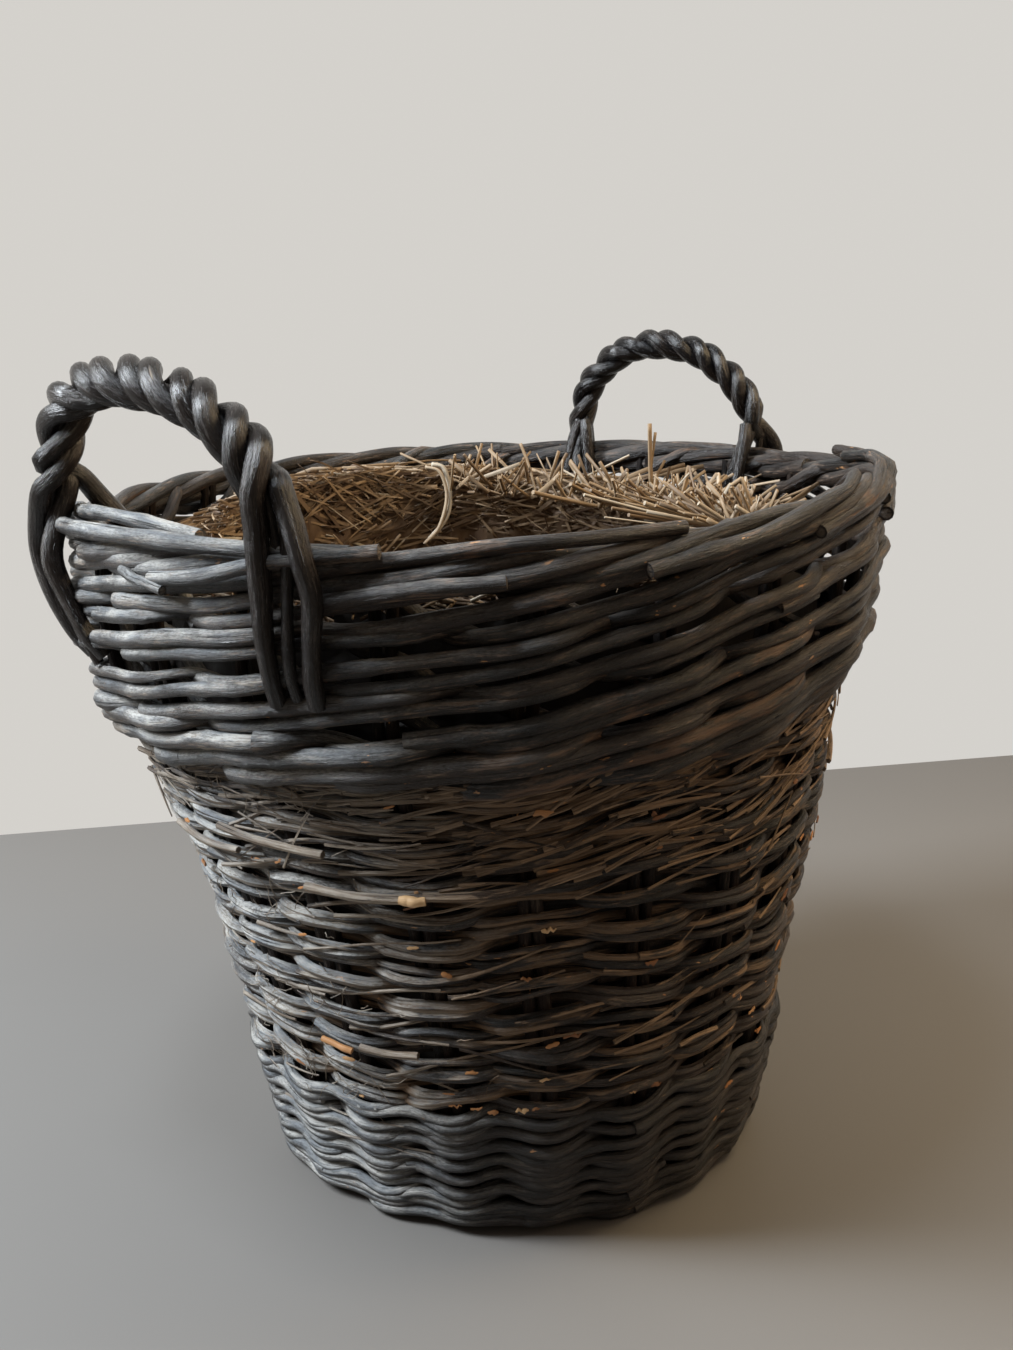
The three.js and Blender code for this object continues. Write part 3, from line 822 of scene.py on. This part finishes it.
# ---- Handles ----
# In millimetres in the handle's own frame. The rope's points are x outward from the basket's axis, y
# along the rim and z up. A leg's points are radius, degrees round from the handle's middle, and height.
# strand is a strand's radius, helix how far it winds from the rope's middle, and thin holds the thinner
# rods beside the legs, each with its radius.
HANDLE_TURN = math.radians(4.75)  # how far each handle is off the axis through the basket
ROPE_TURNS = 4
ROPE_PHASE = 0.85  # where on the rope the first strand starts, in radians
STRANDS = 3
TRIMMED = [3, 7, 3]  # steps of the rope left out at each end of a strand, where its legs take over
WIDE = {
    "turn": math.pi - HANDLE_TURN,
    "rope": [(262, -112, 463), (256, -108.5, 485), (252, -105.5, 507), (250, -96, 524), (250, -78, 534),
             (250, -45, 539.5), (250, -10, 538), (250, 25, 532), (250, 52, 521), (250, 73.5, 507),
             (251, 87, 489), (253, 95, 472)],
    "strand": 6.5,
    "helix": 8.5,
    "left": [
        [(262, -21, 377), (273, -21.6, 391), (282, -23.6, 410), (287.5, -25.8, 432), (289, -25.4, 449)],
        [(233, -21, 392), (232, -22, 425), (239, -23.6, 449), (254, -24, 469), (266, -23.6, 484)],
        [(259, -17.4, 377), (269, -18.4, 392), (278, -20.6, 415), (284, -22, 440)],
    ],
    "right": [
        [(259, 24.9, 374), (265.5, 24.9, 391), (269.5, 25.2, 412), (272, 25.5, 434), (274, 24.4, 456)],
        [(232, 16.6, 400), (235, 15.8, 430), (242, 15.6, 454), (251, 16.8, 470)],
        [(258, 19.5, 374), (264.5, 19.4, 391), (269, 19.2, 412), (272, 19.2, 440), (273, 19, 458)],
    ],
    "thin": [
        (3.4, [(257, 22, 377), (264, 21.9, 393), (268, 22.1, 418), (269, 22.2, 445), (266, 21.8, 470),
               (260, 20.8, 488)]),
        (3.4, [(262, -18, 372), (272, -20.2, 395), (280, -22.8, 425), (284, -23.8, 452), (276, -23.6, 474)]),
        (4.2, [(228, -25.4, 400), (231, -25.2, 435), (242, -25, 455), (258, -24.4, 474)]),
    ],
}
SMALL = {
    "turn": HANDLE_TURN,
    "rope": [(240, -82, 462), (236, -79.5, 475), (235, -74, 487), (235, -62, 504), (235, -36, 524.5),
             (235, -3, 533), (235, 29, 530), (235, 53, 515), (235, 68, 498), (236, 75, 475), (240, 78, 462)],
    "strand": 5.5,
    "helix": 6,
    "left": [
        [(252, -20.5, 368), (263, -20.5, 390), (266, -20.5, 426), (265, -20, 455)],
        [(224, -17, 404), (228, -17.8, 432), (234, -18.6, 452)],
        [(251, -17, 370), (262, -17, 392), (265, -17.4, 428), (261, -18.2, 457)],
    ],
    "right": [
        [(252, 20, 368), (263, 20, 390), (266, 20, 426), (265, 19.4, 455)],
        [(224, 16.4, 404), (227, 16.8, 432), (234, 17.4, 452)],
        [(251, 16.4, 370), (262, 16.4, 392), (265, 16.6, 428), (261, 17.2, 457)],
    ],
    "thin": [
        (4.6, [(223, 14, 402), (227, 14.4, 432), (232, 15.6, 458), (238, 16.6, 474)]),
        (4.4, [(224, 18.8, 404), (228, 19, 432), (234, 18.6, 458), (239, 17.6, 474)]),
        (4.6, [(223, -20.4, 402), (227, -20, 432), (233, -19.6, 458), (238, -18.6, 474)]),
        (3.4, [(252, -18.8, 370), (263, -18.8, 393), (265, -18.8, 436), (256, -18.8, 470)]),
        (3.4, [(252, 18.2, 370), (263, 18.2, 393), (265, 18.2, 436), (256, 18.2, 470)]),
    ],
}


def even(path, n):
    """The same line with n points an even distance apart."""
    along = np.concatenate([[0], np.cumsum(np.linalg.norm(np.diff(path, axis=0), axis=1))])
    want = np.linspace(0, along[-1], n)
    return np.stack([np.interp(want, along, path[:, i]) for i in range(3)], 1)


def leg(points):
    radius, around, z = np.array(points, float).T
    return polar(radius, np.radians(around), z) * MM


def placed(path, turn):
    """From a handle's own frame to the basket's, leaning with the wall."""
    x, y, z = path.T
    c, s = math.cos(turn), math.sin(turn)
    return settled(np.stack([x * c - y * s, x * s + y * c, z], 1))


def handle(name, spec, seed):
    """Three strands that wind round a bow stick and part into legs, with thinner rods beside them."""
    random, rods = rng(seed), Rods()
    turn = spec["turn"]
    steps = 17 * ROPE_TURNS
    centre = even(curve_through(np.array(spec["rope"], float) * MM, 12), steps + 1)
    tangent = np.gradient(centre, axis=0)
    tangent /= np.linalg.norm(tangent, axis=1)[:, None]
    outward = np.cross([1.0, 0, 0], tangent)
    share = np.linspace(0, 1, steps + 1)
    for k in range(STRANDS):
        phase = ROPE_PHASE + FULL_TURN * (k / STRANDS - ROPE_TURNS * share)
        phase = phase + 0.22 * np.sin(5 * math.pi * share + 2.1 * k)
        helix = spec["helix"] * MM * (1 + wander(random, steps + 1, 6, 0.04))
        swing = np.cos(phase)[:, None] * [1.0, 0, 0] + np.sin(phase)[:, None] * outward
        twist = (centre + helix[:, None] * swing)[TRIMMED[k]:-TRIMMED[k]:2]
        path = curve_through(np.concatenate([leg(spec["left"][k]), twist, leg(spec["right"][k])[::-1]]), 5)
        path = even(path, int(len(path) * 0.9))
        n = len(path)
        radius = spec["strand"] * MM * (1 + wander(random, n, 12, 0.035))
        radius *= 1 - 0.22 * smooth(0.36, 0.46, np.abs(np.linspace(-0.5, 0.5, n)))
        tone = random.uniform(0, 0.8)
        bare = wander(random, n, 24, 0.1)
        rods.rod(placed(path, turn), radius, random, 14, tone=tone, bare=bare, knobbly=0.02)
    for radius, points in spec["thin"]:
        path = placed(curve_through(leg(points), 6), turn)
        rods.rod(path, radius * MM, random, 10, bare=0.05, tone=random.uniform(0.3, 1))
    sunk = np.array([4, 0, 20]) * MM
    bow = curve_through([centre[0] - sunk, *centre[1:-1:4], centre[-1] - sunk], 3)
    rods.rod(placed(bow, turn), 0.52 * spec["strand"] * MM, random, 8)
    rods.build(name, ROPE, "roped_handle", nodes_like(name))


# ---- Base ----
def base():
    """A cross of pierced and threaded sticks whose ends fan out, woven round with thin rods."""
    random, rods = rng(61), Rods()
    reach = 156 * MM
    pierced = (False, 5.4 * MM, 13 * MM, 25 * MM)
    threaded = (True, 3.3 * MM, 7.6 * MM, 34 * MM)
    for i in range(-2, 3):
        for across, radius, pitch, straight in (pierced, threaded):
            angle = i * STEP
            half = [(s * math.cos(angle), s * math.sin(angle)) for s in (reach, reach * 0.76, reach * 0.52)]
            half.append((straight, i * pitch))
            points = [*half, (0, i * pitch), *[(-x, y) for x, y in half[::-1]]]
            path = curve_through([[x, y, BASE_MIDDLE] for x, y in points], 6)
            if across:
                path = np.stack([-path[:, 1], path[:, 0], path[:, 2]], 1)
            ends = np.abs(np.linspace(-1, 1, len(path)))
            rods.rod(path, radius * (1.05 - 0.25 * ends), random, 10)
    n = 260
    for i, r in enumerate(np.arange(46 * MM, 158 * MM, 4.9 * MM)):
        for pair in (0, 1):
            a = np.linspace(0, FULL_TURN, n) + random.uniform(0, 6)
            wave = np.cos((STAKES / 2) * a + (i + pair) * math.pi)
            z = BASE_MIDDLE + 5.6 * MM * wave + wander(random, n, 20, 0.3 * MM)
            radius = r + wander(random, n, 25, 0.5 * MM) + 0.8 * MM * pair
            rods.rod(polar(radius, a, z), 2.4 * MM, random, 6)
    rods.build("base_weaving", BASEWOOD, "base_wood", nodes_like("base_"))


# ---- Straw ----
STRAW_EDGE = 0.430  # about how high the straw's upper edge lies
WALL_STEMS = 8000
HIGH_SHARE = 0.6  # how many of them lie along the upper edge
FLOOR_STEMS = 900
SPILLED_STEMS = 1500
STUBS = 360
# Radius and height along the mat's outer and inner faces.
MAT_OUTER = [(0.0, 0.034), (0.07, 0.033), (0.143, 0.034), (0.170, 0.12), (0.205, 0.318), (0.2115, 0.36),
             (0.2115, 0.41)]
MAT_INNER = [(0.205, 0.425), (0.196, 0.420), (0.191, 0.400), (0.188, 0.330), (0.155, 0.135),
             (0.127, 0.062), (0.06, 0.052), (0.0, 0.05)]
SHADED_SHARE = 0.47  # the share of the mat's rows, from the middle of its underside, painted dark as shade: its outer face, behind the wall


def straw_top(angle):
    """Height of the straw's uneven upper edge."""
    d = facing(np.asarray(angle) - math.pi)
    swell = 10 * np.sin(2 * d + 0.5) + 3 * bump(d, -0.75, 0.5) + 8 * bump(d, 0.6, math.sqrt(0.3))
    return STRAW_EDGE + swell * MM


def straw_radius(z):
    """Middle of the straw layer."""
    return np.interp(z, [0.04, 0.12, 0.32, 0.36, 0.43], [0.132, 0.158, 0.196, 0.203, 0.203])


def straw_bed():
    """The dense mat under the loose stems: a cup turned round the axis, with a rough face."""
    around = 220
    r, _, z = curve_through([(r, 0, z) for r, z in MAT_OUTER + MAT_INNER], 6).T[:, :, None]
    a = np.arange(around) * FULL_TURN / around
    rough = rng(71).normal(0, 1, (len(r), around))
    rough = (rough + np.roll(rough, 1, 1) + np.roll(rough, 1, 0)) * 1.1 * MM
    lift = (straw_top(a)[None] - STRAW_EDGE) * smooth(0.30, 0.42, z)
    rings = polar(np.maximum(r + rough * (r > 0.02), 0.0), a, z + lift + rough * 0.5)[1:-1]
    points = np.concatenate([rings.reshape(-1, 3), [[0, 0, z[0, 0]], [0, 0, z[-1, 0]]]])
    rows = len(rings)
    under = rows * around  # the point in the middle of the underside; the next is the inside's
    last = under - around
    faces = []
    for i in range(0, last, around):
        for j in range(around):
            k = (j + 1) % around
            faces.append((i + j, i + k, i + around + k, i + around + j))
    for j in range(around):
        k = (j + 1) % around
        faces.append((under, k, j))
        faces.append((under + 1, last + j, last + k))
    mesh = bpy.data.meshes.new("straw_mat")
    mesh.from_pydata(points.tolist(), [], faces)
    mesh.shade_smooth()
    store(mesh, "grain", points * [1, 1, 0.25])
    store(mesh, "tone", rng(72).uniform(0, 0.3, len(points)))
    mesh.materials.append(STRAW)
    mesh.materials.append(SHADED_STRAW)
    # the outer face's rows, behind the wall, get the dark straw as painted shade
    outside = int(rows * SHADED_SHARE) * around
    shaded_faces = [int(max(face) < outside or under in face) for face in faces]
    mesh.polygons.foreach_set("material_index", np.array(shaded_faces, np.int32))
    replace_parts(placed_piece("straw_mat", mesh), "straw_lining")


def straw_stems():
    """Loose stems: on the wall of the nest, along its upper edge, and strewn about."""
    random = rng(73)
    wall, edge, strewn = Rods(), Rods(), Rods()
    for i in range(WALL_STEMS):
        wall_stem(wall, edge, random)
    for i in range(FLOOR_STEMS):
        floor_stem(strewn, random)
    for i in range(SPILLED_STEMS):
        spilled_stem(strewn, random)
    for i in range(STUBS):
        stub(strewn, random, random.uniform(-1.5, -0.5) if i % 5 else random.uniform(-0.5, 0.2))
    for radius, tone, points in NAMED_STEMS:
        path = curve_through([at(*p) for p in points], 6)
        strewn.rod(path, radius * MM, random, 6, tone=tone, flat=0.5, ends=0.0)
    for name, rods in (("straw_wall", wall), ("straw_edge", edge), ("straw_strewn", strewn)):
        rods.build(name, STRAW, "straw", crease=80)


def wall_stem(wall, edge, random):
    """A stem that lies along the wall of the nest; the high ones are gathered apart."""
    angle = random.uniform(0, FULL_TURN)
    top = float(straw_top(angle))
    high = random.uniform() < HIGH_SHARE
    z0 = top - abs(random.normal(0, 0.035)) if high else random.uniform(0.07, top)
    length = random.uniform(0.02, 0.085)
    lie = 0.9 * math.sin(7 * angle + 40 * z0) + 0.5 * math.sin(17 * angle - 70 * z0)
    steep = 0.45 * lie + random.normal(0, 0.38)
    s = np.linspace(-0.5, 0.5, 6) * length
    z = z0 + s * math.sin(steep) + random.normal(0, 2.6) * s * s
    limit = top + (0.012 if random.uniform() < 0.06 else 0.001)
    z = limit - np.logaddexp(0, -(z - limit) * 300) / 300  # bends over below the limit
    a = angle + s * math.cos(steep) / straw_radius(z0)
    inward = random.uniform(-0.001, 0.010) + random.normal(0, 0.07) * s + random.normal(0, 1.6) * s * s
    r = straw_radius(z) - 5 * MM - np.maximum(inward, -3 * MM)
    thick = random.uniform(0.4, 1.3) * MM * (1.9 if random.uniform() < 0.12 else 1)
    # paler at the back right, where the straw faces the window: painted light added to each stem's own tone
    tone_and_light = random.beta(1.0, 1.9) + 0.45 * float(bump(facing(angle), 1.85, 0.42)) * random.uniform(0.3, 1)
    radius = thick * np.linspace(1, 0.7, 6)
    flat = random.uniform(0.35, 1.0)
    rods = edge if high else wall
    rods.rod(polar(r, a, z), radius, random, 3, tone=min(1.0, tone_and_light), flat=flat, ends=0.0)


def floor_stem(rods, random):
    r0 = 0.128 * math.sqrt(random.uniform())
    angle = random.uniform(0, FULL_TURN)
    heading = random.uniform(0, math.pi)
    s = np.linspace(-0.5, 0.5, 5) * random.uniform(0.03, 0.11)
    x = r0 * math.cos(angle) + s * math.cos(heading)
    y = r0 * math.sin(angle) + s * math.sin(heading)
    z = 0.054 + random.uniform(0, 0.012) + random.normal(0, 1.2) * s * s + np.hypot(x, y) ** 4 * 22
    radius = random.uniform(0.6, 1.5) * MM
    rods.rod(np.stack([x, y, z], 1), radius, random, 3, tone=random.beta(1.6, 1.9), ends=0.0)


def spilled_stem(rods, random):
    """A stem that lies over the edge of the straw, out to the wall."""
    angle = random.uniform(0, FULL_TURN)
    heading = random.normal(0, 0.75)
    s = np.linspace(-0.5, 0.5, 5) * random.uniform(0.018, 0.06)
    r = random.uniform(0.198, 0.226) + s * math.sin(heading)
    a = angle + s * math.cos(heading) / 0.21
    sink = 0.4 * np.maximum(r - 0.214, 0)
    z = float(straw_top(angle)) - 3 * MM - sink + random.normal(0, 3 * MM) + random.normal(0, 1.5) * s * s
    radius = random.uniform(0.5, 1.4) * MM
    tone = random.beta(1.1, 2.2)
    rods.rod(polar(np.clip(r, 0.186, 0.232), a, z), radius, random, 4, tone=tone, flat=0.6, ends=0.0)


def stub(rods, random, around):
    """A short broken stub that stands so far round from the back."""
    angle = BACK + around
    z0 = float(straw_top(angle)) - 12 * MM
    r0 = 0.199 - random.uniform(0, 0.035)
    height = random.uniform(0.012, 0.042)
    tilt = random.normal(0, 0.95, 2)
    s = np.linspace(0, 1, 4) * height
    upward = s / (1 + 0.3 * abs(tilt).max())
    path = polar(r0 + tilt[0] * s, angle + tilt[1] * s / WALL_RADIUS, z0 + upward)
    radius = random.uniform(0.6, 1.9) * MM
    tone = random.uniform(0.2, 0.9)
    rods.rod(path, radius, random, 5, tone=tone, ends=0.0, flat=random.uniform(0.5, 1))


# The stems that stand out, a tall one, a hanging loop and a few that lean on the far wall: radius,
# tone, then degrees round from the viewer, radius and height along them, in millimetres.
NAMED_STEMS = [
    (2.4, 0.62, [(139, 190, 404), (139.4, 189, 440), (139.7, 190, 477)]),
    (1.6, 0.75, [(140.6, 192, 410), (140, 192, 440), (139.2, 195, 470)]),
    (2, 0.9, [(194.5, 176, 450), (191.5, 172, 446), (190.5, 170, 425), (192, 168, 408), (197, 168, 392)]),
    (1.5, 0.8, [(196, 178, 448), (192.8, 170, 444), (191.4, 168, 425), (194, 167, 402), (198.4, 166, 390)]),
    (1.9, 0.45, [(160, 186, 448), (154, 176, 428), (148, 166, 408)]),
    (1.6, 0.5, [(163, 190, 455), (165, 180, 432), (167, 172, 415)]),
    (1.4, 0.7, [(172, 184, 462), (170, 180, 446), (168, 174, 425)]),
    (1.8, 0.3, [(157, 196, 452), (150, 184, 430), (145, 172, 404)]),
]


# ---- Camera, floor and light ----
def camera():
    """Looks down a little at the basket from a metre away, slightly rolled."""
    data = bpy.data.cameras.new("camera")
    data.sensor_fit = "AUTO"
    data.sensor_width = 36
    data.lens = 40
    cam = bpy.data.objects.new("camera", data)
    bpy.context.scene.collection.objects.link(cam)
    heading = Matrix.Rotation(RIGHT + math.radians(-0.38), 4, "Z")
    pitch = Matrix.Rotation(math.radians(90 - 14.7), 4, "X")
    roll = Matrix.Rotation(math.radians(-2.2), 4, "Z")
    cam.matrix_world = Matrix.Translation(polar(0.997, FRONT, 0.585)) @ heading @ pitch @ roll
    bpy.context.scene.camera = cam


def surroundings():
    """A plain floor that ends in a straight line a little way behind the basket."""
    g = Graph("floor_grey")
    grey = (0.158, 0.151, 0.142)
    shade = g.noise(g.place, 3.0, 5.0, 0.6)
    g.shade("Base Color", g.mix(shade, scaled(grey, 0.96), scaled(grey, 1.04)))
    g.shader.inputs["Roughness"].default_value = 0.6
    bpy.ops.mesh.primitive_plane_add(size=1, location=(0, 0, 0))
    floor = bpy.context.object
    floor.name = "floor"
    floor.scale = (1.9, 1.342, 1)
    floor.rotation_euler = (0, 0, math.radians(-43.2))
    floor.data.materials.append(g.material)


def area_light(name, direction, height, distance, size, energy, tint, aim=(0, 0, 0.25)):
    data = bpy.data.lights.new(name, "AREA")
    data.shape = "RECTANGLE"
    data.size, data.size_y = size
    data.energy = energy
    data.color = tint
    light = bpy.data.objects.new(name, data)
    bpy.context.scene.collection.objects.link(light)
    light.location = polar(distance, direction, height)
    light.rotation_euler = (Vector(aim) - light.location).to_track_quat("-Z", "Y").to_euler()


def room(tree):
    """A plain pale room: palest behind the basket, dimmer towards the viewer's side and overhead."""
    direction = add_node(tree, "TexCoord", {}, "Generated")
    lean = BACK + 0.35
    towards = (math.cos(lean), math.sin(lean), -0.15)
    back = add_node(tree, "VectorMath", {0: direction, 1: towards}, "Value", operation="DOT_PRODUCT")
    spread = {"Value": back, "From Min": -0.2, "From Max": 0.75}
    share = add_node(tree, "MapRange", spread, interpolation_type="SMOOTHSTEP")
    colours = {"Factor": share, COLOUR_A: (0.165, 0.138, 0.112, 1), COLOUR_B: (0.66, 0.64, 0.605, 1)}
    background = tree.nodes["Background"]
    tree.links.new(add_node(tree, "Mix", colours, COLOUR_OUT, data_type="RGBA"), background.inputs[0])
    background.inputs[1].default_value = 1.0


def lights():
    world = bpy.data.worlds.new("studio")
    bpy.context.scene.world = world
    world.use_nodes = True
    room(world.node_tree)
    area_light("window", FRONT - 1.45, 1.55, 1.6, (0.5, 0.9), 88, (0.88, 0.94, 1.0))
    area_light("top_light", FRONT - 0.6, 2.1, 0.55, (0.35, 0.35), 16, (0.82, 0.91, 1.0))
    area_light("lamp", FRONT + 1.5, 0.9, 2.0, (1.2, 1.2), 10, (1.0, 0.70, 0.44))
    beside = polar(0.62, RIGHT, 0.0)
    area_light("floor_lamp", RIGHT, 1.1, 0.75, (0.5, 0.5), 9, (1.0, 0.76, 0.46), beside)
    bpy.context.scene.view_settings.view_transform = "Standard"


camera()
surroundings()
lights()
base()
stake_sticks()
foot()
upsett()
slewing()
fibres()
chips()
top_wale()
border()
rim()
loose_rods()
handle("handle_left", WIDE, 83)
handle("handle_right", SMALL, 84)
straw_bed()
straw_stems()
